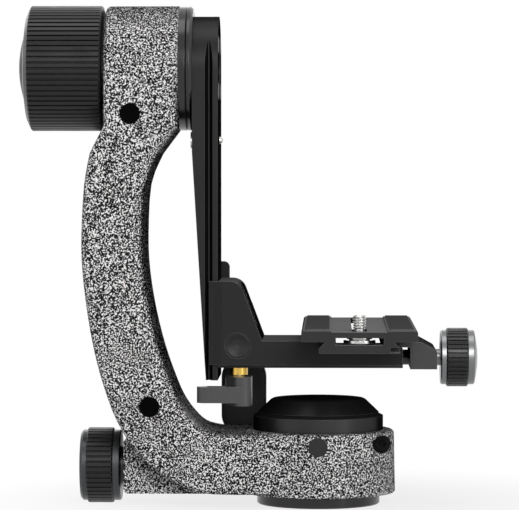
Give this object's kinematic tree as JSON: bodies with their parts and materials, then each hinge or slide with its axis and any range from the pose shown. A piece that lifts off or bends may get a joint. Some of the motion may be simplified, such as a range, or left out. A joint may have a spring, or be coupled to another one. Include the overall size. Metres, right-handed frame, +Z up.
{
  "type": "gimbal tripod head",
  "caption": "Gimbal tripod head: speckled cast C-arm on a panning foot, large ribbed tilt knob, hanging swing arm, height-adjustable cradle and quick-release plate with clamp knob",
  "frame": {"origin": "centre of the tripod thread's mouth, in the underside of the foot", "axes": "+X along the tilt axis, from the tilt knob to the clamp knob; -Y the front shown in the picture; +Z up along the pan axis"},
  "size_m": [0.2254, 0.146, 0.2447],
  "materials": {
    "speckled_paint": "textured",
    "black_metal": "satin",
    "anodised_aluminium": "satin",
    "satin_aluminium": "satin",
    "satin_steel": "satin",
    "dark_steel": "satin",
    "brass": "polished",
    "black_rubber": "matte",
    "black_plastic": "matte"
  },
  "bodies": {
    "base": {"foot_ring": "black_metal", "spindle": "satin_steel", "tripod_bush": "brass", "foot_screws": "dark_steel", "spindle_nut": "dark_steel"},
    "pan": {"j_arm": "speckled_paint", "housing_cover": "black_metal", "pan_bearings": "satin_steel", "front_plug": "black_plastic", "clamp_cap_screw": "dark_steel", "arm_plugs": "black_plastic", "bearing_cover": "black_metal", "tilt_bearings": "satin_steel", "thrust_washer": "brass", "brake_pin": "brass"},
    "pan_knob": {"pan_knob_core": "satin_aluminium", "pan_knob_grip": "black_rubber", "pan_knob_stud": "satin_steel"},
    "swing": {"swing_arm": "anodised_aluminium", "tilt_shaft": "dark_steel", "swing_screws": "dark_steel", "stop_screw": "satin_steel"},
    "tilt_knob": {"tilt_knob_core": "black_plastic", "tilt_knob_grip": "black_rubber", "tilt_knob_cap": "black_plastic", "tilt_knob_insert": "brass"},
    "cradle": {"cradle": "anodised_aluminium", "rear_jaw": "anodised_aluminium", "cross_bolt": "satin_steel", "bolt_cap": "black_plastic", "bolt_nut": "dark_steel", "bolt_washer": "dark_steel", "lock_collar": "brass", "clamp_screw": "satin_steel", "guide_pins": "satin_steel"},
    "clamp_lever": {"clamp_lever": "black_metal"},
    "lock_lever": {"lock_lever": "black_metal", "lock_stud": "satin_steel"},
    "jaw": {"moving_jaw": "anodised_aluminium"},
    "clamp_knob": {"clamp_knob_core": "satin_aluminium", "clamp_knob_grip": "black_rubber", "clamp_knob_cap": "satin_aluminium"},
    "plate": {"plate": "anodised_aluminium", "plate_pads": "black_rubber"},
    "screw_carriage": {"screw_washer": "satin_steel"},
    "camera_screw": {"camera_screw": "satin_steel"},
    "screw_ring": {"screw_ring": "satin_steel"}
  },
  "joints": [
    {"name": "pan_turn", "type": "hinge", "parent": "base", "child": "pan", "pos_m": [0, 0, 0.02], "axis": [0, 0, 1], "continuous": true},
    {"name": "pan_knob_turn", "type": "hinge", "parent": "pan", "child": "pan_knob", "pos_m": [-0.105, 0, 0.0185], "axis": [-1, 0, 0], "range_deg": [0, 360]},
    {"name": "tilt_swing", "type": "hinge", "parent": "pan", "child": "swing", "pos_m": [-0.06, 0, 0.214], "axis": [1, 0, 0], "range_deg": [0, 330]},
    {"name": "tilt_knob_turn", "type": "hinge", "parent": "swing", "child": "tilt_knob", "pos_m": [-0.12, 0, 0.214], "axis": [-1, 0, 0], "range_deg": [0, 360]},
    {"name": "cradle_height", "type": "slide", "parent": "swing", "child": "cradle", "axis": [0, 0, 1], "range_m": [0, 0.066]},
    {"name": "clamp_lever_turn", "type": "hinge", "parent": "cradle", "child": "clamp_lever", "pos_m": [-0.0389, 0.0385, 0.0791], "axis": [0, 1, 0], "range_deg": [-60, 45]},
    {"name": "lock_lever_turn", "type": "hinge", "parent": "cradle", "child": "lock_lever", "pos_m": [-0.0386, -0.019, 0.057], "axis": [0, 0, 1], "range_deg": [0, 120]},
    {"name": "jaw_slide", "type": "slide", "parent": "cradle", "child": "jaw", "axis": [1, 0, 0], "range_m": [0, 0.006]},
    {"name": "clamp_knob_turn", "type": "hinge", "parent": "jaw", "child": "clamp_knob", "pos_m": [0.066, 0, 0.072], "axis": [1, 0, 0], "range_deg": [0, 2160]},
    {"name": "plate_slide", "type": "slide", "parent": "cradle", "child": "plate", "axis": [0, 1, 0], "range_m": [-0.015, 0.009]},
    {"name": "screw_slide", "type": "slide", "parent": "plate", "child": "screw_carriage", "axis": [0, 1, 0], "range_m": [0, 0.118]},
    {"name": "camera_screw_turn", "type": "hinge", "parent": "screw_carriage", "child": "camera_screw", "pos_m": [0.0197, -0.06, 0.088], "axis": [0, 0, 1], "continuous": true},
    {"name": "screw_ring_fold", "type": "hinge", "parent": "camera_screw", "child": "screw_ring", "pos_m": [0.0197, -0.06, 0.08295], "axis": [1, 0, 0], "range_deg": [0, 90]}
  ],
  "couplings": [
    {"joint": "clamp_knob_turn", "follows": "jaw_slide", "rad_per_m": 6283.2}
  ]
}
